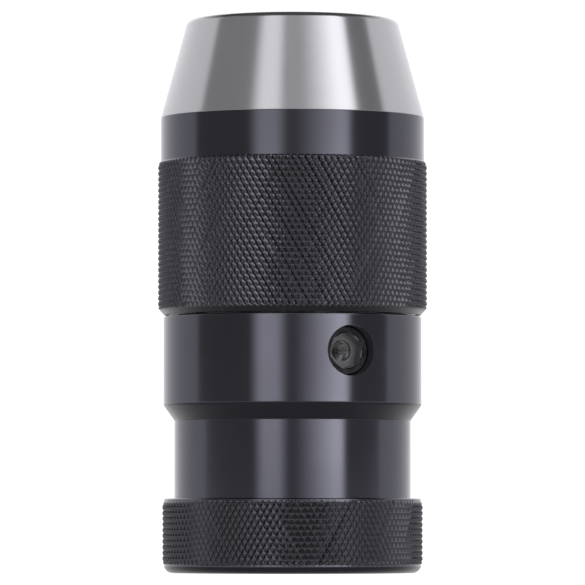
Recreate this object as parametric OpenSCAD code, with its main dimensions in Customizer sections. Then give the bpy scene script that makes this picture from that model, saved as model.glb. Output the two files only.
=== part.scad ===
// Keyless precision drill chuck with a taper socket and a bevel gear drive for a hexagon key.
// The chuck stands on its rear face: Z = 0 is the rear face, +Z points to the nose.
// Every sub-part is drawn where it sits with the jaws fully open.

/* [Body] */
// Overall length from the rear face to the nose
overall_l = 117.2; // [117:0.1:118]
// Diameter of the smooth body next to the sleeve
body_d = 54.6; // [54.4:0.1:54.8]
// Diameter of the waist above the grip ring
waist_d = 50; // [49.8:0.1:50.2]
// Height of the parting line between body and sleeve
parting_z = 54.3; // [54.2:0.1:54.4]
// Height where the waist ends and the cone up to the body starts
waist_z = 32.2; // [31.8:0.1:32.6]
// Axial length of that cone
shoulder_l = 3.2; // [3:0.1:3.4]

/* [Taper socket] */
// Large-end diameter of the short taper socket, B18
taper_d = 17.78; // [17.70:0.01:17.86]
// Length of the taper
taper_l = 32; // [31:0.5:33]
// Diameter lost per millimetre of length
taper_rate = 0.04995; // [0.049:0.0001:0.051]

/* [Grip ring] */
// Diameter of the knurled ring at the rear
ring_d = 55.1; // [54.8:0.1:55.2]
// Height of the ring
ring_h = 15.7; // [15:0.1:16]

/* [Sleeve and nose] */
// Diameter over the knurl of the sleeve
sleeve_d = 57; // [56.8:0.1:57.2]
// Diameter of the smooth band between the knurl and the nose cone
band_d = 55.8; // [55.6:0.1:56]
// Height where the knurl ends
knurl_top_z = 87; // [86.8:0.1:87.4]
// Height where the smooth band meets the nose cone
nose_z = 96.3; // [96.1:0.1:96.6]
// Diameter of the nose cone at its front face, before the edge is rounded
nose_d = 44.4; // [44:0.1:44.8]
// Radius of the mouth in the front face
mouth_r = 9.5; // [9.4:0.1:9.6]

/* [Jaws] */
// Half-angle of the cone that the jaws slide on
cone_a = 20; // [19.5:0.5:20]
// Radius of the gripping lands with the jaws fully open
grip_r = 8.25; // [8.25:0.01:8.3]
// Axial travel of the jaws from fully open to closed
stroke = 22; // [20:0.5:22]
// Height of the jaw tips with the jaws fully open
tip_z = 106; // [105.5:0.5:106]
// Width of a jaw
jaw_w = 9; // [8.6:0.1:9]
// Number of jaws
jaws = 3; // [3:1:3]

/* [Spindle] */
// Outer diameter of the spindle thread
spindle_d = 27; // [26.8:0.1:27]
// Lead of the left-hand spindle thread
lead = 5; // [4:0.5:5]
// Depth of the thread
thread_h = 1.1; // [0.8:0.1:1.2]

/* [Bevel drive] */
// Teeth on the pinion
pinion_teeth = 9; // [9:1:9]
// Teeth on the gear ring
ring_teeth = 45; // [45:1:45]
// Height of the pinion's axis
pinion_z = 46.4; // [46.3:0.1:46.5]
// Distance from the chuck's axis to the outer end of the teeth
gear_r = 20.4; // [20.3:0.1:20.4]
// Hexagon socket, across its flats
hex_af = 7; // [6.8:0.1:7]
// Depth of the pinion's face below the body's surface
pinion_sink = 2.2; // [2:0.1:2.4]

/* [Thrust bearing] */
// Number of balls
balls = 24; // [20:1:24]
// Ball diameter
ball_d = 4; // [3.9:0.1:4]
// Radius of the ball circle
ball_circle_r = 20.3; // [20.2:0.1:20.4]

/* [Hidden] */
$fn = 96;

body_black = [0.13, 0.13, 0.15];
knurl_black = [0.10, 0.10, 0.11];
ground_steel = [0.72, 0.72, 0.74];
plain_steel = [0.55, 0.55, 0.57];
brass = [0.78, 0.62, 0.30];

eps = 0.5;                                // how far a cut runs past a face
edge = 0.3;                               // small broken edge
press = 0;                                // a press fit is drawn line to line
run = 0.06;                               // radial clearance of a running fit
gap = 0.3;                                // clearance between faces that pass each other

body_r = body_d / 2;
waist_r = waist_d / 2;
ring_r = ring_d / 2;
sleeve_r = sleeve_d / 2;
band_r = band_d / 2;
taper_r = taper_d / 2;
taper_end_r = taper_r - taper_l * taper_rate / 2;
socket_relief = 1.5;                      // length of the cylindrical relief past the taper
drill_point_a = 59;                       // half-angle of a drill point

ring_seat_r = 23.5;
ring_seat_z = ring_h - 0.6;

spindle_r = spindle_d / 2;
spindle_bore_r = spindle_r + run;
spindle_top = 76.7;
spindle_bottom = 45.4;
core_r = 16.3;
core_top = 76.4;
bore_bottom = 44.6;
well_r = 20.7;                            // outer wall of the well that the gear ring turns in
well_bottom = 40.9;

front_l = overall_l;
seat_r = 24.4;                            // bore of the nose cone's skirt
skirt_r = 26.3;                           // outside of the skirt, bore of the knurled sleeve
cone_start_z = front_l - (seat_r - mouth_r) / tan(cone_a);
function cone_r(z) = mouth_r + (front_l - z) * tan(cone_a);

race_h = 1.4;
race_in_r = 17;
race_out_r = 23.6;
gear_flange_z = parting_z + 0.4;
gear_flange_h = 6.5;
rear_race_z = gear_flange_z + gear_flange_h;
ball_z = rear_race_z + race_h + ball_d / 2;
front_race_z = ball_z + ball_d / 2;
nut_z = front_race_z + race_h;
nut_h = 4.8;
guide_z = nut_z + nut_h + 0.6;
guide_top = 113;
pin_r = 0.9;

pitch_r = gear_r * pinion_teeth / ring_teeth;
tooth_module = 2 * pitch_r / pinion_teeth;
pressure_a = 20;
shift = 0.47;                             // profile shift of the pinion, in modules
pinion_tip_r = pitch_r + 1.1 * tooth_module;
pinion_root_r = pitch_r - 0.88 * tooth_module;
pinion_end = core_r + gap;
backlash = 0.12;
tooth_w = tooth_module * (PI / 2 + 2 * shift * tan(pressure_a));
ring_addendum = (1 - shift) * tooth_module;
ring_root = 1.4 * tooth_module;
pinion_bore_r = 5.2;
pinion_bore_edge = 0.2;
journal_r = pinion_bore_r - run;
journal_in = well_r + 0.05;
pinion_face = body_r - pinion_sink;
hex_depth = 2.6;
hex_turn = 18;
pinion_groove_y = journal_in + 2.1;
pinion_pin_r = 0.75;
pinion_groove_r = 4.65;

head_slot_w = jaw_w + 0.1;
neck_w = 4.8;
head_top = 73;
head_bottom = 69.6;
slot_gap = 0.2;
head_out_r = spindle_r - 1;
land_w = 0.7;
jaw_back_r = 9.3;                         // crown of a jaw's back, tighter than the cone's mouth
jaw_rear = 77;
jaw_back_gap = 0.05;
wedge_a = 180 / jaws;

// Points on an arc in the plane of a turned profile.
function arc(cx, cz, r, from, to, n = 6) =
    [for (i = [0:n]) let (a = from + (to - from) * i / n) [cx + r * cos(a), cz + r * sin(a)]];

module turned(points) {
    rotate_extrude() polygon(points);
}

module tube(r_out, r_in, h, z = 0) {
    translate([0, 0, z]) difference() {
        cylinder(r = r_out, h = h);
        translate([0, 0, -eps]) cylinder(r = r_in, h = h + 2 * eps);
    }
}

// Children copied around the chuck's axis.
module around(n, first = 0) {
    for (i = [0:n - 1]) rotate([0, 0, first + i * 360 / n]) children();
}

// Moves a shape drawn along +Z to the pinion's axis, pointing outward along -Y.
module on_pinion_axis() {
    translate([0, 0, pinion_z]) rotate([90, 0, 0]) children();
}

// Short dowels that run parallel to the chuck's axis across the joint between two parts.
module dowels(n, at_r, r, z, h, first = 0) {
    around(n, first) translate([at_r, 0, z]) cylinder(r = r, h = h, $fn = 24);
}

module gear_ring_dowels() {
    dowels(3, seat_r, pin_r, parting_z + 0.4, 5, 30);
}

module guide_dowels() {
    dowels(3, seat_r, pin_r, guide_z, 2.6, 30);
}

module nut_dowel() {
    dowels(1, core_r, pin_r, nut_z + 1.2, nut_h - 1.2, 90);
}

module pinion_dowels(r) {
    for (side = [-1, 1])
        translate([side * (pinion_groove_r + pinion_pin_r + 0.03), -pinion_groove_y, well_bottom + 1])
            cylinder(r = r, h = parting_z - gap / 2 - well_bottom - 1, $fn = 24);
}

module body() {
    front = parting_z - 0.1;
    socket_end = taper_l + socket_relief;
    color(body_black) difference() {
        turned(concat(
            [[taper_r + 0.8, 0], [ring_seat_r - edge, 0], [ring_seat_r, edge], [ring_seat_r, ring_seat_z],
             [waist_r, ring_seat_z], [waist_r, waist_z], [body_r, waist_z + shoulder_l],
             [body_r, front - edge], [body_r - edge, front], [well_r, front], [well_r, well_bottom],
             [core_r, well_bottom], [core_r, core_top - 0.6], [core_r - 0.6, core_top],
             [spindle_bore_r + 0.4, core_top], [spindle_bore_r, core_top - 0.4], [spindle_bore_r, bore_bottom],
             [0, bore_bottom]],
            [[0, socket_end + taper_end_r / tan(drill_point_a)], [taper_end_r, socket_end],
             [taper_end_r, taper_l], [taper_r, 0.8 / 8]]));
        on_pinion_axis() translate([0, 0, well_r - 2]) cylinder(r = pinion_bore_r, h = body_r);
        on_pinion_axis() translate([0, 0, body_r - pinion_bore_edge])
            cylinder(r1 = pinion_bore_r, r2 = pinion_bore_r + 1, h = 1);
        pinion_dowels(pinion_pin_r);
        nut_dowel();
    }
}

module grip_ring() {
    foot = 1.7;
    shoulder = 0.9;
    color(knurl_black) turned(concat(
        [[ring_seat_r + edge, 0]],
        arc(ring_r - foot, foot, foot, -78, 0),
        arc(ring_r - shoulder, ring_h - shoulder, shoulder, 0, 90),
        [[waist_r + 0.05, ring_h], [waist_r + 0.05, ring_seat_z], [ring_seat_r + press, ring_seat_z],
         [ring_seat_r + press, edge]]));
}

// Angle between a pinion tooth's centre line and its flank, at a radius.
function involute(a) = tan(a) * 180 / PI - a;
function flank_angle(r, base_r) =
    (tooth_w - backlash) / 2 / pitch_r * 180 / PI + involute(pressure_a) - involute(acos(min(1, base_r / r)));

module pinion_profile() {
    base_r = pitch_r * cos(pressure_a);
    steps = 4;
    flank = [for (i = [0:steps]) let (r = base_r + (pinion_tip_r - base_r) * i / steps)
        [r, flank_angle(r, base_r)]];
    half = concat([[pinion_root_r, flank[0][1]]], flank);
    last = len(half) - 1;
    polygon([for (t = [0:pinion_teeth - 1]) let (middle = 90 + t * 360 / pinion_teeth) each concat(
        [for (p = half) [p[0] * cos(middle - p[1]), p[0] * sin(middle - p[1])]],
        [for (i = [0:last]) let (p = half[last - i]) [p[0] * cos(middle + p[1]), p[0] * sin(middle + p[1])]])]);
}

module pinion() {
    face_w = gear_r - pinion_end;
    pilot_r = 2.25;
    pilot_h = 0.6;
    pilot_point = 0.8;
    socket_bottom = pinion_face - hex_depth;
    chamfer = 0.4;
    color(plain_steel) on_pinion_axis() difference() {
        union() {
            translate([0, 0, gear_r]) mirror([0, 0, 1])
                linear_extrude(height = face_w, scale = pinion_end / gear_r) pinion_profile();
            translate([0, 0, gear_r - 1]) cylinder(r = pinion_root_r - 0.4, h = 2);
            translate([0, 0, journal_in]) cylinder(r = journal_r, h = pinion_face - journal_in - edge);
            translate([0, 0, pinion_face - edge]) cylinder(r1 = journal_r, r2 = journal_r - edge, h = edge);
        }
        translate([0, 0, pinion_groove_y]) rotate_extrude()
            translate([pinion_groove_r, -pinion_pin_r - 0.1]) square([2, 2 * pinion_pin_r + 0.2]);
        translate([0, 0, socket_bottom]) rotate([0, 0, hex_turn])
            cylinder(d = hex_af / cos(30), h = hex_depth + eps, $fn = 6);
        translate([0, 0, pinion_face - chamfer])
            cylinder(r1 = hex_af / 2, r2 = hex_af / 2 + 2 * chamfer, h = 2 * chamfer);
        translate([0, 0, socket_bottom - pilot_h]) cylinder(r = pilot_r, h = 2 * pilot_h);
        translate([0, 0, socket_bottom - pilot_h - pilot_point])
            cylinder(r1 = 0.3, r2 = pilot_r, h = pilot_point);
    }
}

module pinion_pins() {
    color(plain_steel) pinion_dowels(pinion_pin_r);
}

// One tooth space of the gear ring. Its edges all run to the point where the two axes meet.
module tooth_space() {
    ends = [core_r - eps, gear_r + eps];
    corners = [[-1, -ring_root], [1, -ring_root], [1, 1.3 * tooth_module], [-1, 1.3 * tooth_module]];
    points = [for (r = ends) each [for (c = corners)
        let (k = r / gear_r, w = tooth_w / 2 + c[1] * tan(pressure_a))
        [c[0] * w * k, -r, pinion_z + (pitch_r - c[1]) * k]]];
    polyhedron(points, [[3, 2, 1, 0], [4, 5, 6, 7], [5, 4, 0, 1], [6, 5, 1, 2], [7, 6, 2, 3], [4, 7, 3, 0]]);
}

module gear_ring() {
    bore = core_r + run;
    tip = pitch_r - ring_addendum;
    color(plain_steel) difference() {
        turned([[bore, pinion_z + tip * bore / gear_r], [gear_r, pinion_z + tip],
                [gear_r, gear_flange_z], [seat_r - edge, gear_flange_z], [seat_r, gear_flange_z + edge],
                [seat_r, rear_race_z - edge], [seat_r - edge, rear_race_z], [bore, rear_race_z]]);
        around(ring_teeth) tooth_space();
        gear_ring_dowels();
    }
}

module gear_ring_pins() {
    color(plain_steel) gear_ring_dowels();
}

module rear_race() {
    color(ground_steel) tube(race_out_r, race_in_r, race_h, rear_race_z);
}

module front_race() {
    color(ground_steel) tube(race_out_r, race_in_r, race_h, front_race_z);
}

module ball_cage() {
    cage_h = 2;
    color(brass) difference() {
        tube(race_out_r - 0.2, race_in_r + 0.2, cage_h, ball_z - cage_h / 2);
        around(balls) translate([ball_circle_r, 0, ball_z - cage_h])
            cylinder(d = ball_d + 0.1, h = 2 * cage_h, $fn = 32);
    }
}

module bearing_balls() {
    color(ground_steel) around(balls) translate([ball_circle_r, 0, ball_z]) sphere(d = ball_d - 0.03, $fn = 32);
}

module bearing_nut() {
    spanner_holes = 4;
    color(plain_steel) difference() {
        tube(seat_r - 0.1, core_r, nut_h, nut_z);
        dowels(spanner_holes, 20.4, 1.5, nut_z + nut_h - 2.5, 3, 45);
        nut_dowel();
    }
}

module bearing_nut_pin() {
    color(plain_steel) nut_dowel();
}

module nose_cone() {
    nose_r = nose_d / 2;
    lip = 0.8;
    round_r = 1.3;
    slope_a = atan((band_r - nose_r) / (front_l - nose_z));
    edge_r = nose_r - round_r * tan((90 - slope_a) / 2);
    color(ground_steel) difference() {
        turned(concat(
            [[seat_r, gear_flange_z - 0.1], [skirt_r, gear_flange_z - 0.1], [skirt_r, nose_z], [band_r, nose_z]],
            arc(edge_r, front_l - round_r, round_r, slope_a, 90),
            [[mouth_r + lip, front_l], [cone_r(front_l - lip), front_l - lip], [seat_r, cone_start_z]]));
        gear_ring_dowels();
        guide_dowels();
    }
}

module knurled_sleeve() {
    chamfer_r = 1.3;
    chamfer_h = 1.5;
    rear = parting_z + 0.2;
    color(knurl_black) turned([
        [skirt_r + press, rear], [sleeve_r - chamfer_r, rear], [sleeve_r, rear + chamfer_h],
        [sleeve_r, knurl_top_z - 0.5], [sleeve_r - 0.5, knurl_top_z], [band_r, knurl_top_z],
        [band_r, nose_z], [skirt_r + press, nose_z]]);
}

module jaw_guide() {
    slot_w = jaw_w + 2 * run;
    spindle_room_r = spindle_r + gap;
    spindle_room_z = spindle_top + stroke + 2;
    tool_room_r = grip_r + 0.35;
    color(plain_steel) difference() {
        turned([[race_in_r, guide_z], [seat_r - edge, guide_z], [seat_r, guide_z + edge], [seat_r, cone_start_z],
                [cone_r(guide_top), guide_top], [tool_room_r, guide_top], [tool_room_r, spindle_room_z],
                [spindle_room_r, spindle_room_z], [spindle_room_r, jaw_rear + 0.2],
                [race_in_r, jaw_rear + 0.2]]);
        around(jaws, 90) translate([0, -slot_w / 2, jaw_rear - gap])
            cube([seat_r + 1, slot_w, guide_top - jaw_rear + 1]);
        guide_dowels();
    }
}

module guide_pins() {
    color(plain_steel) guide_dowels();
}

// Single-start left-hand thread: an off-centre section turned as it rises.
module left_hand_thread(z, h) {
    points = 28;
    slices = ceil(h / lead * 14);
    translate([0, 0, z])
        linear_extrude(height = h, twist = 360 * h / lead, slices = slices, segments = points)
        polygon([for (i = [0:points - 1]) let (
            a = 360 * i / points,
            rise = min(1, max(0, 0.5 + 1.6 * cos(a))),
            r = spindle_r - thread_h * (1 - rise))
            [r * cos(a), r * sin(a)]]);
}

module spindle() {
    thread_top = head_bottom - 3;
    core = spindle_r - thread_h;
    color(plain_steel) difference() {
        union() {
            left_hand_thread(spindle_bottom + 0.5, thread_top - spindle_bottom - 0.5);
            translate([0, 0, spindle_bottom]) cylinder(r1 = core - 0.8, r2 = core - 0.3, h = 0.5);
            translate([0, 0, thread_top]) cylinder(r = spindle_r, h = spindle_top - thread_top - edge);
            translate([0, 0, spindle_top - edge]) cylinder(r1 = spindle_r, r2 = spindle_r - edge, h = edge);
        }
        around(jaws, 90) {
            translate([0, -head_slot_w / 2, head_bottom - slot_gap])
                cube([spindle_d, head_slot_w, head_top - head_bottom + 2 * slot_gap]);
            translate([0, -neck_w / 2 - 0.15, head_top - 1]) cube([spindle_d, neck_w + 0.3, 10]);
        }
        translate([0, 0, spindle_bottom - eps]) cylinder(r = 6, h = 16);
        translate([0, 0, spindle_bottom + 16 - eps - 0.01]) cylinder(r1 = 6, r2 = 0.3, h = 5.7 / tan(drill_point_a));
    }
}

// Plan of a jaw along +X: a wedge that meets its neighbours along two faces.
module jaw_plan() {
    half_w = jaw_w / 2;
    wedge_l = (half_w - land_w / 2) / tan(wedge_a);
    back = seat_r + 2;
    translate([0, 0, head_bottom - 1]) linear_extrude(height = overall_l - head_bottom) polygon([
        [grip_r, -land_w / 2], [grip_r + wedge_l, -half_w], [back, -half_w],
        [back, half_w], [grip_r + wedge_l, half_w], [grip_r, land_w / 2]]);
}

// Round bar lying along the nose's inner cone: its outside is the crowned back of a jaw.
module jaw_back_bar() {
    back_x = cone_r(jaw_rear) - jaw_back_gap / cos(cone_a);
    translate([back_x, 0, jaw_rear]) rotate([0, -cone_a, 0])
        translate([-jaw_back_r, 0, -12]) cylinder(r = jaw_back_r, h = 60);
}

// Gripping part of a jaw, seen from the side.
module jaw_blade() {
    relief = 1.1;
    grip_l = 22;
    tip_chamfer = 1;
    tip_back = cone_r(tip_z) - jaw_back_gap / cos(cone_a);
    rotate([90, 0, 0]) linear_extrude(height = jaw_w, center = true) polygon([
        [grip_r, tip_z - 0.4], [grip_r + 0.4, tip_z], [tip_back - tip_chamfer, tip_z],
        [tip_back, tip_z - tip_chamfer], [seat_r + 0.6, jaw_rear + 1.2], [seat_r - 1, jaw_rear],
        [grip_r + relief, jaw_rear], [grip_r + relief, tip_z - grip_l - 1], [grip_r, tip_z - grip_l]]);
}

// T-shaped foot of a jaw, which the spindle carries.
module jaw_foot() {
    foot_in_r = grip_r + 1.1;
    translate([foot_in_r, -jaw_w / 2, head_bottom])
        cube([head_out_r - foot_in_r, jaw_w, head_top - head_bottom]);
    translate([foot_in_r, -neck_w / 2, head_top - 1])
        cube([head_out_r + 0.3 - foot_in_r, neck_w, jaw_rear - head_top + 2]);
}

module jaw() {
    color(ground_steel) intersection() {
        jaw_plan();
        union() {
            intersection() {
                jaw_blade();
                jaw_back_bar();
            }
            jaw_foot();
        }
    }
}

module placed_jaw(i) {
    rotate([0, 0, 90 + i * 360 / jaws]) jaw();
}

body();
grip_ring();
pinion();
pinion_pins();
gear_ring();
gear_ring_pins();
rear_race();
ball_cage();
bearing_balls();
front_race();
bearing_nut();
bearing_nut_pin();
nose_cone();
knurled_sleeve();
jaw_guide();
guide_pins();
spindle();
placed_jaw(0);  // jaw_1
placed_jaw(1);  // jaw_2
placed_jaw(2);  // jaw_3
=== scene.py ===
"""Looks of the drill chuck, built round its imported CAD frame. Lengths are in metres."""

import math

import bpy
import numpy as np
from mathutils import Matrix, Vector


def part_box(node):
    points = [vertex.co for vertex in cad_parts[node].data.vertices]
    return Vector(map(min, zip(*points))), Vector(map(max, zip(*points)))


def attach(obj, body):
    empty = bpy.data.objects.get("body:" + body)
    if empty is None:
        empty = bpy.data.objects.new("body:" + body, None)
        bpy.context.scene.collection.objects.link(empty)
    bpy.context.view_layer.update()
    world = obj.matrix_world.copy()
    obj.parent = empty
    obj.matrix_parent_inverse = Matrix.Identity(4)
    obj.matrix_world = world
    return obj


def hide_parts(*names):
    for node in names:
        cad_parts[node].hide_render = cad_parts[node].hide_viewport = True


MM = 0.001
ROUND_SEGMENTS = 288          # segments round a turned surface
FILLET_STEPS = 5              # segments in a rounded edge
SMALL_EDGE = 0.25 * MM        # rounding of a machined edge
HIDDEN_EDGE = 0.06 * MM       # rounding of an edge that hardly shows
RANDOM = np.random.default_rng(16)
POLISHED, PAINTED_SHADE_DOWN, SHADED = 1, 2, 3   # material indices of a knurled piece, where 0 is its knurl and 2 and 3 are painted shade
BORED = SHADED                # the body has the wall of the key hole in place of a knurl's lower sides
CHAMFER_DOWN = -0.5           # steeper than the lower sides of a knurl
LOOKS_DOWN = -0.15            # a face whose normal is lower than this gets painted shade
LOOKS_UP = 0.98               # a face whose normal is higher than this is a front face
KNURL_SHARP = math.radians(24)
MARKS_SHARP = math.radians(40)
CUT_SPREAD = 0.05             # how much the grooves of a knurl differ in depth
RAGGED = 0.005 * MM           # roughness of a knurl's surface
BUMP_DEPTH = 0.02 * MM        # depth of the lines and grain of a metal

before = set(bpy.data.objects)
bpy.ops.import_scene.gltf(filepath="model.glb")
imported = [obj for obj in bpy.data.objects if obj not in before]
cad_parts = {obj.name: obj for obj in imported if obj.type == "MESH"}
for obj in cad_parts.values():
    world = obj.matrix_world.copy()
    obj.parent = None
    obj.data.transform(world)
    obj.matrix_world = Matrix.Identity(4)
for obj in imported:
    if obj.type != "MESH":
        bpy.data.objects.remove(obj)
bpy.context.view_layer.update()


# ---------------------------------------------------------------- geometry helpers
def fillet(corner, before, after, radius, steps=FILLET_STEPS):
    """Points and outward directions of a rounded corner of a turned profile."""
    corner, before, after = (Vector(p) for p in (corner, before, after))
    d_in, d_out = (corner - before).normalized(), (after - corner).normalized()
    turn = d_in.angle(d_out)
    half = turn / 2
    reach = min(
        radius * math.tan(half), 0.45 * (corner - before).length, 0.45 * (after - corner).length
    )
    radius = reach / math.tan(half) if half > 1e-4 else 0
    sign = 1 if d_in.x * d_out.y - d_in.y * d_out.x > 0 else -1
    centre = corner - d_in * reach + Vector((-d_in.y, d_in.x)) * radius * sign
    start = corner - d_in * reach - centre
    points = []
    for i in range(steps + 1):
        angle = sign * turn * i / steps
        c, s = math.cos(angle), math.sin(angle)
        spoke = Vector((c * start.x - s * start.y, s * start.x + c * start.y))
        points.append((centre + spoke, spoke.normalized() * sign))
    return points


def rounded_profile(corners, closed=True):
    """Rings (r, z, normal r, normal z) of a turned profile whose corners are (r, z, radius).
    The profile runs with the material on its left, so that normals point to its right."""
    rings = []
    last = len(corners) - 1
    for i, (r, z, radius) in enumerate(corners):
        if not closed and i in (0, last):
            continue
        before, after = corners[i - 1][:2], corners[(i + 1) % len(corners)][:2]
        for point, normal in fillet((r, z), before, after, max(radius, HIDDEN_EDGE)):
            rings.append((point.x, point.y, normal.x, normal.y))
    return rings


def new_object(name, mesh, *materials):
    ob = bpy.data.objects.new(name, mesh)
    bpy.context.scene.collection.objects.link(ob)
    for material in materials:
        mesh.materials.append(material)
    return ob


def revolve(rings, segments):
    """Vertices and normals of rings turned round Z, ring by ring."""
    angle = np.arange(segments) * 2 * math.pi / segments
    cos, sin = np.cos(angle), np.sin(angle)
    flat = np.ones(segments)
    verts = [np.stack([r * cos, r * sin, z * flat], 1) for r, z, _, _ in rings]
    normals = [np.stack([nr * cos, nr * sin, nz * flat], 1) for _, _, nr, nz in rings]
    return np.concatenate(verts), np.concatenate(normals)


def band_faces(low, high, segments):
    """Faces between two rings of vertices that start at low and high."""
    found = []
    for i in range(segments):
        k = (i + 1) % segments
        found.append((low + i, low + k, high + k, high + i))
    return found


def turned(name, corners, *materials, segments=ROUND_SEGMENTS):
    """A closed turned mesh, with exact normals on every ring."""
    rings = rounded_profile(corners)
    verts, normals = revolve(rings, segments)
    faces = []
    for k in range(len(rings)):
        faces += band_faces(k * segments, (k + 1) % len(rings) * segments, segments)
    mesh = bpy.data.meshes.new(name)
    mesh.from_pydata(verts.tolist(), [], faces)
    mesh.shade_smooth()
    mesh.normals_split_custom_set_from_vertices(normals.tolist())
    return new_object(name, mesh, *materials)


def knurl_wave(phase, crest=0.2):
    """Depth share of one family of grooves: 1 at the bottom of a groove, 0 on its flat crest."""
    distance = np.abs((phase % 1.0) - 0.5) * 2
    return np.clip((distance - crest) / (1 - crest), 0, 1)


class Knurl:
    """Diamond knurl on a turned surface. Mesh edges follow both families of grooves."""

    CUTS = 5                       # mesh steps across one groove
    OFFSET = 0.6                   # puts a row of vertices on the bottom of every groove
    SLOPE = math.tan(math.radians(30))

    def __init__(self, radius, starts, z_from, z_to, depth_right, depth_left):
        self.radius, self.starts = radius, starts
        self.z_from, self.z_to = z_from, z_to
        self.depths = (depth_right, depth_left)
        self.columns = starts * self.CUTS
        self.axial = 2 * math.pi * radius / starts / self.SLOPE
        self.row_h = self.axial / (2 * self.CUTS)
        self.rows = int(round((z_to - z_from) / self.row_h)) + 1

    def points(self, limit):
        """Vertices row by row, and how high each stands: 1 on a crest and 0 in a groove.
        limit(z) is the profile's radius, which cuts the knurl at its ends."""
        spread = RANDOM.normal(1.0, CUT_SPREAD, (2, self.starts))
        rows, heights = [], []
        for j in range(self.rows):
            z = self.z_to if j == self.rows - 1 else self.z_from + j * self.row_h
            turn = (np.arange(self.columns) + (j % 2) / 2) / self.columns
            depth = np.zeros(self.columns)
            for family, lean in enumerate((1, -1)):
                phase = turn * self.starts + lean * j / (2 * self.CUTS)
                groove = np.round(phase).astype(int) % self.starts
                cut = self.depths[family] * spread[family][groove] * knurl_wave(phase + self.OFFSET)
                depth = np.maximum(depth, cut)
            ragged = RANDOM.normal(0, RAGGED, self.columns)
            r = np.minimum(self.radius - depth - np.abs(ragged), limit(z))
            angle = turn * 2 * math.pi
            flat = np.full(self.columns, z)
            rows.append(np.stack([r * np.cos(angle), r * np.sin(angle), flat], 1))
            heights.append(1 - depth / max(self.depths))
        return np.concatenate(rows), np.concatenate(heights)

    def faces(self):
        """Two triangles a step, whose shared edge leans with the grooves."""
        n = self.columns
        found = []
        for j in range(self.rows - 1):
            low, high = j * n, (j + 1) * n
            for i in range(n):
                k = (i + 1) % n
                if j % 2 == 0:
                    found.append((low + i, low + k, high + i))
                    found.append((low + k, high + k, high + i))
                else:
                    found.append((low + i, high + k, high + i))
                    found.append((low + i, low + k, high + k))
        return found


def polish_or_paint_shade(mesh, first):
    """Gives the turned faces their look: polished, or painted shade where they look down."""
    for face in mesh.polygons[first:]:
        face.material_index = PAINTED_SHADE_DOWN if face.normal.z < LOOKS_DOWN else POLISHED


def knurled(name, knurl, limit, corners, materials):
    """A turned piece with a knurled band. corners lead from the band's top round to its foot."""
    n = knurl.columns
    band, heights = knurl.points(limit)
    ends = [(limit(z), z, 0) for z in (knurl.z_to, knurl.z_from)]
    rings = rounded_profile([ends[0], *corners, ends[1]], False)
    ring_verts, ring_normals = revolve(rings, n)
    faces = knurl.faces()
    band_count = len(faces)
    previous = (knurl.rows - 1) * n
    for k in range(len(rings)):
        start = len(band) + k * n
        faces += band_faces(previous, start, n)
        previous = start
    faces += band_faces(previous, 0, n)
    mesh = bpy.data.meshes.new(name)
    mesh.from_pydata(np.concatenate([band, ring_verts]).tolist(), [], faces)
    mesh.shade_smooth()
    mesh.set_sharp_from_angle(angle=KNURL_SHARP)
    facets = np.zeros_like(band)                     # zero leaves the knurl's facets as they are
    custom = np.concatenate([facets, ring_normals])
    vertex = np.zeros(len(mesh.loops), int)
    mesh.loops.foreach_get("vertex_index", vertex)
    mesh.normals_split_custom_set(custom[vertex].tolist())
    crest = mesh.attributes.new("crest", "FLOAT", "POINT")
    value = np.concatenate([heights, np.ones(len(ring_verts))])
    crest.data.foreach_set("value", value.astype(np.float32))
    piece = new_object(name, mesh, *materials)
    # painted shade on the knurl's lower sides, and darker painted shade on its steep chamfers
    for face in mesh.polygons[:band_count]:
        if face.normal.z < LOOKS_DOWN:
            face.material_index = PAINTED_SHADE_DOWN if face.normal.z < CHAMFER_DOWN else SHADED
    polish_or_paint_shade(mesh, band_count)
    return piece


def exact_normals(mesh, surfaces):
    """Sets smooth normals on a mesh cut from turned shapes. surfaces holds (rings, to-lathe matrix,
    sign) for each material index: the profile that those faces came from."""
    count = len(mesh.loops)
    verts = np.array([v.co for v in mesh.vertices])
    vertex = np.zeros(count, int)                    # the vertex of each loop
    mesh.loops.foreach_get("vertex_index", vertex)
    normals = np.zeros((count, 3))
    for face in mesh.polygons:
        rings, to_lathe, sign = surfaces[face.material_index]
        loops = list(face.loop_indices)
        turn = np.array(to_lathe.to_3x3())
        local = verts[vertex[loops]] @ turn.T + np.array(to_lathe.translation)
        r, z = np.hypot(local[:, 0], local[:, 1]), local[:, 2]
        start, end = rings[:, :2], np.roll(rings, -1, 0)[:, :2]
        step = end - start
        length2 = np.maximum((step**2).sum(1), 1e-18)
        middle = np.array([r.mean(), z.mean()])
        share = np.clip(((middle - start) * step).sum(1) / length2, 0, 1)
        k = int(np.argmin(((start + share[:, None] * step - middle) ** 2).sum(1)))
        along = np.clip(((np.stack([r, z], 1) - start[k]) @ step[k]) / length2[k], 0, 1)[:, None]
        flat = rings[k, 2:] * (1 - along) + rings[(k + 1) % len(rings), 2:] * along
        spoke = local[:, :2] / np.maximum(r, 1e-9)[:, None]
        local_normal = np.concatenate([spoke * flat[:, :1], flat[:, 1:]], 1) * sign
        normals[loops] = local_normal @ turn
    mesh.normals_split_custom_set(normals.tolist())


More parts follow.
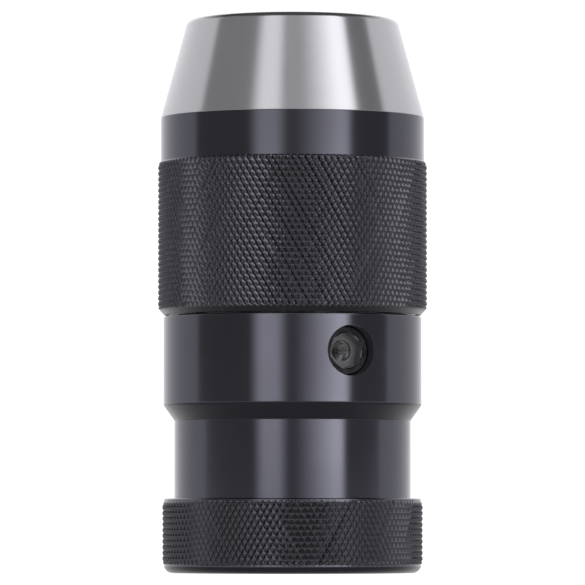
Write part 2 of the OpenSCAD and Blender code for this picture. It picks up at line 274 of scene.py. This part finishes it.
# ---------------------------------------------------------------- materials
class Nodes:
    """Short way to build a node tree."""

    def __init__(self, tree):
        self.tree = tree
        self.tree.nodes.clear()

    def add(self, kind, inputs=None, **settings):
        node = self.tree.nodes.new(kind)
        for key, value in settings.items():
            setattr(node, key, value)
        for key, value in (inputs or {}).items():
            if isinstance(value, bpy.types.NodeSocket):
                self.tree.links.new(value, node.inputs[key])
            else:
                node.inputs[key].default_value = value
        return node

    def noise(self, coords, scale, detail=3.0, rough=0.55):
        inputs = {"Vector": coords, "Scale": scale, "Detail": detail, "Roughness": rough}
        return self.add("ShaderNodeTexNoise", inputs).outputs["Fac"]

    def stretched(self, coords, scale):
        inputs = {"Vector": coords, "Scale": scale}
        return self.add("ShaderNodeMapping", inputs).outputs["Vector"]

    def spread(self, value, low_in, high_in, low, high):
        inputs = {
            "Value": value, "From Min": low_in, "From Max": high_in, "To Min": low, "To Max": high
        }
        return self.add("ShaderNodeMapRange", inputs, clamp=True).outputs["Result"]

    def mix(self, share, a, b):
        node = self.add("ShaderNodeMix", data_type="RGBA")
        self.tree.links.new(share, node.inputs["Factor"])
        for name, value in (("A", a), ("B", b)):
            socket = next(i for i in node.inputs if i.name == name and i.type == "RGBA")
            if isinstance(value, bpy.types.NodeSocket):
                self.tree.links.new(value, socket)
            else:
                socket.default_value = (*value, 1)
        return next(o for o in node.outputs if o.type == "RGBA")

    def maths(self, operation, a, b):
        return self.add("ShaderNodeMath", {0: a, 1: b}, operation=operation).outputs["Value"]

    def dot(self, vector, axis):
        inputs = {0: vector, 1: axis}
        return self.add("ShaderNodeVectorMath", inputs, operation="DOT_PRODUCT").outputs["Value"]


def metal(
    name, base, patch, worn, roughness,
    lines=0.0, grain=0.0, wear=(0.53, 0.6, 0.5), metallic=1.0, groove=None,
):
    """Metal with patches of another shade, lighter worn edges, lathe or grinding lines and grain.
    wear holds the pointiness where wear starts and is full, and its share. groove is the shade at
    the bottom of a knurl."""
    material = bpy.data.materials.new(name)
    material.use_nodes = True
    n = Nodes(material.node_tree)
    coords = n.add("ShaderNodeTexCoord").outputs["Object"]
    patches = n.noise(coords, 90, 4)
    fine = n.noise(coords, 2400, 2)
    along = n.noise(n.stretched(coords, (40, 40, 5200)), 1, 3)
    colour = n.mix(n.spread(patches, 0.35, 0.68, 0, 0.35), base, patch)
    colour = n.mix(n.spread(along, 0.3, 0.7, 0, 0.2 if lines else 0.0), colour, patch)
    if groove is not None:
        crest = n.add("ShaderNodeAttribute", attribute_name="crest").outputs["Fac"]
        colour = n.mix(n.spread(crest, 0.0, 0.4, 0, 1), groove, colour)
    pointed = n.add("ShaderNodeNewGeometry").outputs["Pointiness"]
    edge_low, edge_high, edge_share = wear
    edges = n.spread(pointed, edge_low, edge_high, 0, edge_share)
    rubbed = n.maths("MULTIPLY", edges, n.spread(n.noise(coords, 500, 3), 0.3, 0.6, 0.35, 1))
    colour = n.mix(rubbed, colour, worn)
    rough = n.maths(
        "ADD",
        n.spread(patches, 0.3, 0.7, roughness * 0.92, roughness * 1.08),
        n.spread(fine, 0.3, 0.7, -0.1 * grain, 0.1 * grain),
    )
    normal = None
    for texture, strength in ((along, lines), (fine, grain)):
        inputs = {"Height": texture, "Strength": max(strength, 0.001), "Distance": BUMP_DEPTH}
        if normal is not None:
            inputs["Normal"] = normal
        normal = n.add("ShaderNodeBump", inputs).outputs["Normal"]
    shader = n.add(
        "ShaderNodeBsdfPrincipled",
        {"Base Color": colour, "Metallic": metallic, "Roughness": rough, "Normal": normal},
    )
    n.add("ShaderNodeOutputMaterial", {"Surface": shader.outputs["BSDF"]})
    return material


SMOOTH_BLACK = metal(
    "smooth black oxide", (0.066, 0.066, 0.079), (0.072, 0.072, 0.085), (0.15, 0.15, 0.16), 0.15,
    lines=0.03, grain=0.01, wear=(0.56, 0.7, 0.1)
)
# painted shade: a near-black copy of the black oxide for faces that look down
BLACK_PAINTED_SHADE = metal(
    "black oxide with painted shade", (0.015, 0.015, 0.018), (0.02, 0.02, 0.024), (0.08, 0.08, 0.085), 0.3,
    lines=0.03, grain=0.03, wear=(0.56, 0.7, 0.25)
)
KNURL_BLACK = metal(
    "knurled black oxide", (0.056, 0.056, 0.064), (0.068, 0.068, 0.077), (0.16, 0.16, 0.165), 0.17,
    grain=0.08, wear=(0.56, 0.75, 0.25), metallic=0.86, groove=(0.05, 0.05, 0.058)
)
# painted shade: a darker copy of the knurled black oxide for the knurl's lower sides
KNURL_PAINTED_SHADE = metal(
    "painted shade on the lower sides of the knurl", (0.04, 0.04, 0.046), (0.048, 0.048, 0.054), (0.12, 0.12, 0.125),
    0.22, grain=0.08, wear=(0.56, 0.75, 0.25), metallic=0.86, groove=(0.05, 0.05, 0.058)
)
RING_BLACK = metal(
    "knurled black ring", (0.03, 0.03, 0.035), (0.037, 0.037, 0.043), (0.12, 0.12, 0.125), 0.22,
    grain=0.08, wear=(0.56, 0.75, 0.25), metallic=0.86, groove=(0.04, 0.04, 0.046)
)
BORED_BLACK = metal(
    "wall of the key hole", (0.034, 0.034, 0.04), (0.042, 0.042, 0.048), (0.08, 0.08, 0.085), 0.35,
    grain=0.1, wear=(0.56, 0.7, 0.1), metallic=0.2
)
GROUND_STEEL = metal(
    "ground steel", (0.29, 0.29, 0.295), (0.315, 0.315, 0.32), (0.5, 0.5, 0.51), 0.16,
    lines=0.12, grain=0.01, wear=(0.55, 0.65, 0.3), metallic=0.85
)
TURNED_STEEL = metal(
    "turned steel", (0.6, 0.6, 0.61), (0.66, 0.66, 0.67), (0.72, 0.72, 0.73), 0.5,
    lines=0.1, grain=0.1
)
JAW_STEEL = metal(
    "jaw steel", (0.5, 0.5, 0.515), (0.58, 0.58, 0.59), (0.7, 0.7, 0.71), 0.4,
    lines=0.15, grain=0.1
)
HARD_STEEL = metal(
    "hardened steel", (0.2, 0.195, 0.2), (0.28, 0.27, 0.265), (0.45, 0.45, 0.46), 0.36,
    lines=0.1, grain=0.15
)
PINION_STEEL = metal(
    "blackened pinion steel", (0.006, 0.006, 0.007), (0.01, 0.01, 0.011), (0.08, 0.08, 0.085), 0.34,
    lines=0.05, grain=0.2
)
SOCKET_STEEL = metal(
    "broached key socket", (0.085, 0.085, 0.087), (0.12, 0.12, 0.122), (0.2, 0.2, 0.2), 0.45,
    lines=0.05, grain=0.3, metallic=0.2
)
DRILLED_STEEL = metal(
    "drilled pinion steel", (0.09, 0.09, 0.092), (0.13, 0.13, 0.13), (0.2, 0.2, 0.2), 0.42,
    lines=0.05, grain=0.3
)
RACE_STEEL = metal(
    "bearing steel", (0.56, 0.56, 0.57), (0.64, 0.64, 0.65), (0.75, 0.75, 0.76), 0.14,
    lines=0.1, grain=0.05
)
BRASS = metal(
    "brass", (0.62, 0.45, 0.17), (0.5, 0.34, 0.12), (0.8, 0.64, 0.34), 0.32,
    lines=0.2, grain=0.2
)
# finishes and painted shade by material index
SLEEVE_FINISHES = (KNURL_BLACK, SMOOTH_BLACK, BLACK_PAINTED_SHADE, KNURL_PAINTED_SHADE)
RING_FINISHES = (RING_BLACK, SMOOTH_BLACK, BLACK_PAINTED_SHADE, KNURL_PAINTED_SHADE)
BODY_FINISHES = (KNURL_BLACK, SMOOTH_BLACK, BLACK_PAINTED_SHADE, BORED_BLACK)


# ---------------------------------------------------------------- sizes taken from the CAD frame
body_lo, body_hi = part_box("body")
ring_lo, ring_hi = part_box("grip_ring")
sleeve_lo, sleeve_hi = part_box("knurled_sleeve")
nose_lo, nose_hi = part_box("nose_cone")
pinion_lo, pinion_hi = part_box("pinion")

body_r = body_hi.x
ring_r = ring_hi.x
sleeve_r = sleeve_hi.x
band_r = nose_hi.x                               # the nose's foot is as wide as the smooth band
front_z = nose_hi.z
nose_z = sleeve_hi.z                             # where the black band meets the bright cone
parting_z = sleeve_lo.z
pinion_z = (pinion_lo.z + pinion_hi.z) / 2
pinion_face = -pinion_lo.y


# ---------------------------------------------------------------- grip ring
RING_SEAT_R = 23.5 * MM
RING_LEDGE = 0.6 * MM
RING_LIP_DROP = 0.32 * MM
RING_FOOT = 1.8 * MM                             # height of the smooth foot under the knurl
RING_FOOT_ROUND = 1.7 * MM
RING_LIP_H = 0.8 * MM
RING_GROOVES = 125                               # grooves of each family
RING_GROOVE_DEPTHS = (0.35 * MM, 0.39 * MM)
WAIST_R = 25 * MM
WAIST_GAP = 0.05 * MM                            # between the ring's lip and the waist

lip_r = ring_r - RING_LIP_DROP
ring_knurl = Knurl(
    ring_r, RING_GROOVES, ring_lo.z + RING_FOOT, ring_hi.z - RING_LIP_H, *RING_GROOVE_DEPTHS
)


def round_foot(r_out, z_foot, radius, corners=4):
    """Corners of a profile that goes round from a flat rear face to the outside."""
    step = math.radians(90) / corners
    reach = radius / math.cos(step / 2)
    centre_r, centre_z = r_out - radius, z_foot + radius
    found = []
    for i in range(corners):
        angle = (i + 0.5) * step
        r, z = centre_r + reach * math.sin(angle), centre_z - reach * math.cos(angle)
        found.append((r, z, radius))
    return found


def ring_limit(z):
    """The ring's knurl runs out into its smooth lips."""
    nearest = min(z - ring_knurl.z_from, ring_knurl.z_to - z)
    return min(ring_r, lip_r + nearest)


grip_ring = knurled(
    "grip_ring_knurled",
    ring_knurl,
    ring_limit,
    [
        (lip_r, ring_hi.z, 0.7 * MM),
        (WAIST_R + WAIST_GAP, ring_hi.z, 0.1 * MM),
        (WAIST_R + WAIST_GAP, ring_hi.z - RING_LEDGE, 0),
        (RING_SEAT_R, ring_hi.z - RING_LEDGE, 0),
        (RING_SEAT_R, ring_lo.z, SMALL_EDGE),
        *round_foot(lip_r, ring_lo.z, RING_FOOT_ROUND),
    ],
    RING_FINISHES,
)
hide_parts("grip_ring")
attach(grip_ring, "chuck_body")


# ---------------------------------------------------------------- knurled sleeve
SKIRT_R = 26.3 * MM
KNURL_END_DROP = 9.3 * MM                        # from the sleeve's top down to its knurl
KNURL_END_CHAMFER = 0.5 * MM
SLEEVE_FOOT_R = 1.3 * MM
SLEEVE_FOOT_H = 1.5 * MM
SLEEVE_GROOVES = 129
SLEEVE_GROOVE_DEPTHS = (0.445 * MM, 0.335 * MM)

knurl_top = nose_z - KNURL_END_DROP
sleeve_knurl = Knurl(sleeve_r, SLEEVE_GROOVES, parting_z, knurl_top, *SLEEVE_GROOVE_DEPTHS)


def sleeve_limit(z):
    """The knurl is cut by the chamfer at the sleeve's foot and by a small one at its top."""
    foot = sleeve_r - SLEEVE_FOOT_R * max(0, 1 - (z - parting_z) / SLEEVE_FOOT_H)
    top = sleeve_r - max(0, KNURL_END_CHAMFER - (knurl_top - z))
    return min(foot, top)


knurled_sleeve = knurled(
    "sleeve_knurled",
    sleeve_knurl,
    sleeve_limit,
    [
        (band_r, knurl_top, 0),
        (band_r, nose_z, 0.08 * MM),
        (SKIRT_R, nose_z, 0),
        (SKIRT_R, parting_z, 0),
        (sleeve_limit(parting_z) - 0.1 * MM, parting_z, 0),
    ],
    SLEEVE_FINISHES,
)
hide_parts("knurled_sleeve")
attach(knurled_sleeve, "sleeve")


# ---------------------------------------------------------------- nose cone
SKIRT_BORE_R = 24.4 * MM
NOSE_END_R = 22.2 * MM                           # where the cone would meet the front face
NOSE_ROUND = 1.5 * MM
MOUTH_R = 9.5 * MM
MOUTH_CHAMFER = 0.8 * MM
CONE_SLOPE = math.tan(math.radians(20))


def inner_cone_r(z):
    return MOUTH_R + (front_z - z) * CONE_SLOPE


nose_cone = turned(
    "nose_cone_ground",
    [
        (SKIRT_BORE_R, nose_lo.z, 0),
        (SKIRT_R, nose_lo.z, 0),
        (SKIRT_R, nose_z, 0),
        (band_r, nose_z, 0.1 * MM),
        (NOSE_END_R, front_z, NOSE_ROUND),
        (MOUTH_R + MOUTH_CHAMFER, front_z, 0.2 * MM),
        (inner_cone_r(front_z - MOUTH_CHAMFER), front_z - MOUTH_CHAMFER, 0.2 * MM),
        (SKIRT_BORE_R, front_z - (SKIRT_BORE_R - MOUTH_R) / CONE_SLOPE, 0),
    ],
    GROUND_STEEL,
    TURNED_STEEL,
)
for face in nose_cone.data.polygons:
    if face.normal.z > LOOKS_UP:
        face.material_index = 1                      # the front face is turned, the cone is ground
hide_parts("nose_cone")
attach(nose_cone, "sleeve")


# ---------------------------------------------------------------- body
BODY_TOP_DROP = 0.3 * MM                         # gap between the body and the sleeve
WAIST_Z = 32.2 * MM
SHOULDER_L = 3.2 * MM
WELL_R = 20.7 * MM
WELL_Z = 40.9 * MM
CORE_R = 16.3 * MM
SPINDLE_BORE_R = 13.56 * MM
SPINDLE_BORE_Z = 44.6 * MM
TAPER_R = 8.89 * MM
TAPER_END_R = 8.09 * MM
TAPER_L = 32 * MM
SOCKET_TOP = 38.3 * MM
SOCKET_TIP_R = 0.3 * MM
HOLE_R = 5.2 * MM
HOLE_CHAMFER = 0.12 * MM
HOLE_WALL = 0.03 * MM                            # faces of the hole nearer than this are its wall
CUTTER_SEGMENTS = 96

body_top = parting_z - BODY_TOP_DROP
body_corners = [
    (TAPER_R + 0.8 * MM, body_lo.z, SMALL_EDGE),
    (RING_SEAT_R, body_lo.z, SMALL_EDGE),
    (RING_SEAT_R, ring_hi.z - RING_LEDGE, 0),
    (WAIST_R, ring_hi.z - RING_LEDGE, 0),
    (WAIST_R, WAIST_Z, 0.35 * MM),
    (body_r, WAIST_Z + SHOULDER_L, 1.2 * MM),
    (body_r, body_top, 0.35 * MM),
    (WELL_R, body_top, SMALL_EDGE),
    (WELL_R, WELL_Z, SMALL_EDGE),
    (CORE_R, WELL_Z, SMALL_EDGE),
    (CORE_R, body_hi.z, 0.5 * MM),
    (SPINDLE_BORE_R, body_hi.z, 0.3 * MM),
    (SPINDLE_BORE_R, SPINDLE_BORE_Z, SMALL_EDGE),
    (SOCKET_TIP_R, SPINDLE_BORE_Z, 0),
    (SOCKET_TIP_R, SOCKET_TOP, 0),
    (TAPER_END_R, TAPER_L + 1.5 * MM, 0),
    (TAPER_END_R, TAPER_L, 0),
    (TAPER_R, body_lo.z + 0.8 * MM, SMALL_EDGE),
]
body = turned("body_black", body_corners)
outward = Matrix.Translation((0, 0, pinion_z)) @ Matrix.Rotation(math.radians(90), 4, "X")
cutter_corners = [
    (0.05 * MM, WELL_R - 2 * MM, 0),
    (HOLE_R, WELL_R - 2 * MM, 0),
    (HOLE_R, body_r - HOLE_CHAMFER, 0.15 * MM),
    (HOLE_R + 3 * HOLE_CHAMFER, body_r + 2 * HOLE_CHAMFER, 0),
    (HOLE_R + 3 * HOLE_CHAMFER, body_r + 2 * MM, 0),
    (0.05 * MM, body_r + 2 * MM, 0),
]
cutter = turned("hole_cutter", cutter_corners, segments=CUTTER_SEGMENTS)
for vertex in cutter.data.vertices:
    if vertex.co.z > body_r - 1 * MM:              # the rim follows the body's curve
        vertex.co.z -= body_r - math.sqrt(body_r**2 - vertex.co.x**2)
# the cutter's faces carry the painted-shade index only as a tag until they are sorted below
for piece, index in ((body, POLISHED), (cutter, PAINTED_SHADE_DOWN)):
    for material in BODY_FINISHES:
        piece.data.materials.append(material)
    for face in piece.data.polygons:
        face.material_index = index
cutter.matrix_world = outward
cut = body.modifiers.new("hole", "BOOLEAN")
cut.object, cut.operation, cut.solver = cutter, "DIFFERENCE", "EXACT"
bpy.context.view_layer.update()
depsgraph = bpy.context.evaluated_depsgraph_get()
finished = bpy.data.meshes.new_from_object(body.evaluated_get(depsgraph))
body.modifiers.clear()
body.data = finished
bpy.data.objects.remove(cutter)
for face in finished.polygons:
    face.use_smooth = True
exact_normals(
    finished,
    {
        POLISHED: (np.array(rounded_profile(body_corners)), Matrix.Identity(4), 1),
        PAINTED_SHADE_DOWN: (np.array(rounded_profile(cutter_corners)), outward.inverted(), -1),
    },
)
for face in finished.polygons:
    from_pinion = math.hypot(face.center.x, face.center.z - pinion_z)
    if face.material_index == PAINTED_SHADE_DOWN:
        face.material_index = POLISHED if from_pinion > HOLE_R + HOLE_WALL else BORED
    # painted shade on the body's faces that look down
    elif face.normal.z < LOOKS_DOWN:
        face.material_index = PAINTED_SHADE_DOWN
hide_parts("body")
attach(body, "chuck_body")


# ---------------------------------------------------------------- rough bottom of the key socket
HEX_DEPTH = 2.6 * MM
PILOT_R = 2.15 * MM
PILOT_H = 0.6 * MM
PILOT_POINT = 0.8 * MM
SOCKET_R = 4.2 * MM                              # wider than the hexagon, narrower than the pinion
SOCKET_DEPTH = HEX_DEPTH + PILOT_H + PILOT_POINT + 0.2 * MM
RIDGES = 5                                       # rings that the drill left
RIDGE_H = 0.09 * MM
RING_TEAR = 0.25                                 # how unevenly those rings are torn
MARK_GRAIN = 0.006 * MM
MARK_STEPS = (72, 40)                            # round and outward


def drill_marks():
    """Bottom of the pilot hole in the socket: a cone covered with torn rings."""
    around, outwards = MARK_STEPS
    floor_y = pinion_face - HEX_DEPTH - PILOT_H - PILOT_POINT
    torn = RANDOM.normal(0, RING_TEAR, (RIDGES + 1, 6))
    top, bottom = [], []
    for k in range(outwards + 1):
        share = k / outwards
        r = PILOT_R * (0.06 + 0.94 * share)
        ring = min(int(share * RIDGES), RIDGES - 1)
        ridge = (share * RIDGES) % 1.0
        for i in range(around):
            a = 2 * math.pi * i / around
            ragged = sum(
                swing * math.sin((h + 1) * a + 7 * shift)
                for h, (swing, shift) in enumerate(zip(torn[ring], torn[ring + 1]))
            )
            lift = RIDGE_H * ridge * max(0.15, 0.75 + ragged) + RANDOM.normal(0, MARK_GRAIN)
            y = floor_y + 0.12 * MM + (PILOT_POINT - 0.1 * MM) * share + abs(lift)
            place = Vector((r * math.cos(a), -y, pinion_z + r * math.sin(a)))
            top.append(place)
            bottom.append(place + Vector((0, y - floor_y - 0.02 * MM - PILOT_POINT * share, 0)))
    verts = top + bottom
    low = len(top)
    faces = []
    for k in range(outwards):
        for i in range(around):
            j = (i + 1) % around
            a, b = k * around + i, k * around + j
            c, d = (k + 1) * around + j, (k + 1) * around + i
            faces += [(a, b, c, d), (low + d, low + c, low + b, low + a)]
    for i in range(around):
        j = (i + 1) % around
        rim = outwards * around
        faces += [(rim + i, rim + j, low + rim + j, low + rim + i), (j, i, low + i, low + j)]
    mesh = bpy.data.meshes.new("drill_marks")
    mesh.from_pydata(verts, [], faces)
    mesh.shade_smooth()
    mesh.set_sharp_from_angle(angle=MARKS_SHARP)
    return new_object("drill_marks", mesh, DRILLED_STEEL)


marks = drill_marks()
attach(marks, "pinion")


# ---------------------------------------------------------------- CAD nodes that show as they are
for node_names, material in (
    (("pinion",), PINION_STEEL),
    (("gear_ring", "gear_ring_pins", "bearing_nut", "bearing_nut_pin", "pinion_pins"), HARD_STEEL),
    (("jaw_guide", "guide_pins", "spindle"), HARD_STEEL),
    (("jaw_1", "jaw_2", "jaw_3"), JAW_STEEL),
    (("rear_race", "front_race", "bearing_balls"), RACE_STEEL),
    (("ball_cage",), BRASS),
):
    for node_name in node_names:
        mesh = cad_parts[node_name].data
        mesh.materials.clear()
        mesh.materials.append(material)

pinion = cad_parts["pinion"]
pinion.data.materials.append(SOCKET_STEEL)
for face in pinion.data.polygons:
    place = pinion.matrix_world @ face.center
    behind_face = place.y + pinion_face
    if math.hypot(place.x, place.z - pinion_z) < SOCKET_R and 0.2 * MM < behind_face < SOCKET_DEPTH:
        face.material_index = 1


# ---------------------------------------------------------------- floor, light and camera
PHOTO_AZIMUTH = math.radians(-26.7)
CAMERA_DISTANCE = 1.176
CAMERA_Z = 0.012
CAMERA_PITCH = math.radians(2.306)
SENSOR_W = 36                                    # mm
LENS = 341.53846                                 # mm

to_camera = Vector((math.sin(PHOTO_AZIMUTH), -math.cos(PHOTO_AZIMUTH), 0))
camera_data = bpy.data.cameras.new("photo view")
camera_data.lens, camera_data.sensor_width = LENS, SENSOR_W
camera_data.clip_start, camera_data.clip_end = 0.05, 60
camera = bpy.data.objects.new("photo view", camera_data)
bpy.context.scene.collection.objects.link(camera)
camera.location = to_camera * CAMERA_DISTANCE + Vector((0, 0, CAMERA_Z))
aim = -to_camera * math.cos(CAMERA_PITCH) + Vector((0, 0, math.sin(CAMERA_PITCH)))
camera.rotation_euler = aim.to_track_quat("-Z", "Y").to_euler()
bpy.context.scene.camera = camera


# Radiance of the studio round the chuck, by degrees to the right of the camera.
# Heights are sines of the elevation, and "higher" is what HIGHER blends to.
TINT = (0.99, 0.985, 1.025, 1)
ZENITH = 0.05
STUDIO = 0.31
BACKDROP = 1.08
BACKDROP_HIGHER = 0.42                           # how much brighter the backdrop gets
BACKDROP_FROM = 93
BACKDROP_SOFT = 2
LEFT_BOX = (-33, -9, 5, 2.6)                     # from, to, softness of its edges, radiance
RIGHT_BOX = (2, 41, 51, 4.6)                     # faint at its left, full from 41 to 51
RIGHT_BOX_SOFT = 3
RIGHT_BOX_CURVE = 1.25                           # how its brightness rises from the left
BOXES_WIDEN = 0.1                                # higher up both are wider by this share
RIGHT_BOX_SHIFT = 5                              # and the right one is further to the right
BETWEEN = (-7, -3, 44, 54)                       # soft light over the right box and its left
BETWEEN_GLOW = (0.14, 0.4)                       # its radiance, and what it gains higher up
LEFT_SIDE = (-12, 0, 0.16)                       # extra light on the left, higher up only
TOP_OF_BOXES = (0.74, 0.8)                       # where they fade out
TOP_OF_BACKDROP = (0.5, 0.74)
GLOW_BAND = (0.03, 0.066)                        # the boxes are brightest just above the floor
LEFT_GLOW = (1.5, 0.43, 0.67)                    # below that band, above it, and higher up
RIGHT_GLOW = (1.52, 0.26, 0.68)
HIGHER = (0.1, 0.25)

world = bpy.data.worlds.new("studio")
bpy.context.scene.world = world
world.use_nodes = True
sky = Nodes(world.node_tree)
direction = sky.add("ShaderNodeTexCoord").outputs["Generated"]
to_right = Vector((-to_camera.y, to_camera.x, 0))
ahead, side = (sky.dot(direction, axis) for axis in (to_camera, to_right))
height = sky.add("ShaderNodeSeparateXYZ", {"Vector": direction}).outputs["Z"]
turn = sky.maths("MULTIPLY", sky.maths("ARCTAN2", side, ahead), math.degrees(1))
higher = sky.spread(height, *HIGHER, 0, 1)
narrower = sky.maths("SUBTRACT", 1.0, sky.maths("MULTIPLY", higher, BOXES_WIDEN))
beam = sky.maths("MULTIPLY", turn, narrower)
left_from, left_to, left_soft, left_radiance = LEFT_BOX
left_box = sky.maths(
    "MULTIPLY",
    sky.spread(beam, left_from - left_soft, left_from + left_soft, 0, left_radiance),
    sky.spread(beam, left_to - left_soft, left_to + left_soft, 1, 0),
)
right_from, right_full, right_to, right_radiance = RIGHT_BOX
beam = sky.maths("SUBTRACT", beam, sky.maths("MULTIPLY", higher, RIGHT_BOX_SHIFT))
right_rise = sky.spread(beam, right_from, right_full, 0, 1)
right_rise = sky.maths("POWER", right_rise, RIGHT_BOX_CURVE)
right_box = sky.maths(
    "MULTIPLY",
    sky.maths("MULTIPLY", right_rise, right_radiance),
    sky.spread(beam, right_to - RIGHT_BOX_SOFT, right_to + RIGHT_BOX_SOFT, 1, 0),
)


def glow(box, near_floor, above, high):
    """A box whose brightness changes with height."""
    share = sky.spread(height, *GLOW_BAND, near_floor, above)
    share = sky.maths("ADD", share, sky.maths("MULTIPLY", higher, high - above))
    return sky.maths("MULTIPLY", box, share)


boxes = sky.maths("ADD", glow(left_box, *LEFT_GLOW), glow(right_box, *RIGHT_GLOW))
start, risen, falling, end = BETWEEN
glow_low, glow_gain = BETWEEN_GLOW
between = sky.maths(
    "MULTIPLY", sky.spread(turn, start, risen, 0, 1), sky.spread(turn, falling, end, 1, 0)
)
between_glow = sky.maths("ADD", sky.maths("MULTIPLY", higher, glow_gain), glow_low)
between = sky.maths("MULTIPLY", between, between_glow)
full_to, none_from, side_glow = LEFT_SIDE
left_side = sky.maths("MULTIPLY", higher, sky.spread(turn, full_to, none_from, side_glow, 0))
front = sky.maths("ADD", boxes, STUDIO - ZENITH)
front = sky.maths("ADD", front, sky.maths("ADD", between, left_side))
front = sky.maths("MULTIPLY", front, sky.spread(height, *TOP_OF_BOXES, 1, 0))
back = sky.maths("ADD", BACKDROP - ZENITH, sky.maths("MULTIPLY", higher, BACKDROP_HIGHER))
back = sky.maths("MULTIPLY", back, sky.spread(height, *TOP_OF_BACKDROP, 1, 0))
off_front = sky.add("ShaderNodeMath", {0: turn}, operation="ABSOLUTE").outputs["Value"]
behind = sky.spread(off_front, BACKDROP_FROM - BACKDROP_SOFT, BACKDROP_FROM + BACKDROP_SOFT, 0, 1)
inputs = {"Factor": behind, "A": front, "B": back}
lit = sky.add("ShaderNodeMix", inputs, data_type="FLOAT").outputs["Result"]
background = sky.add(
    "ShaderNodeBackground", {"Color": TINT, "Strength": sky.maths("ADD", lit, ZENITH)}
)
sky.add("ShaderNodeOutputWorld", {"Surface": background.outputs["Background"]})

FLOOR = 30                                       # half its side
FLOOR_GAP = 0.05 * MM
PAINTED_FLOOR_SHADE = (0.225, 0.27)                      # painted shade on the floor, from this far in front of the chuck
FLOOR_GLOW = (0.85, 0.12)                        # its own glow, outside and inside the painted shade
LIT_FLOOR, PAINTED_SHADE_FLOOR = (0.5, 0.5, 0.5), (0.2, 0.2, 0.2)

floor_mesh = bpy.data.meshes.new("floor")
floor_corners = [(-FLOOR, -FLOOR, 0), (FLOOR, -FLOOR, 0), (FLOOR, FLOOR, 0), (-FLOOR, FLOOR, 0)]
floor_mesh.from_pydata(floor_corners, [], [(0, 1, 2, 3)])
pale = bpy.data.materials.new("pale floor")
pale.use_nodes = True
n = Nodes(pale.node_tree)
place = n.add("ShaderNodeNewGeometry").outputs["Position"]
# painted shade: the floor in front of the chuck is darker and glows less
painted_shade = n.spread(n.dot(place, to_camera), *PAINTED_FLOOR_SHADE, 0, 1)
floor_shader = n.add(
    "ShaderNodeBsdfPrincipled",
    {
        "Base Color": n.mix(painted_shade, LIT_FLOOR, PAINTED_SHADE_FLOOR),
        "Roughness": 0.9,
        "Emission Color": (1, 1, 1, 1),
        "Emission Strength": n.spread(painted_shade, 0, 1, *FLOOR_GLOW),
    },
)
n.add("ShaderNodeOutputMaterial", {"Surface": floor_shader.outputs["BSDF"]})
floor = new_object("floor", floor_mesh, pale)
floor.location.z = body_lo.z - FLOOR_GAP

bpy.context.scene.view_settings.view_transform = "Standard"
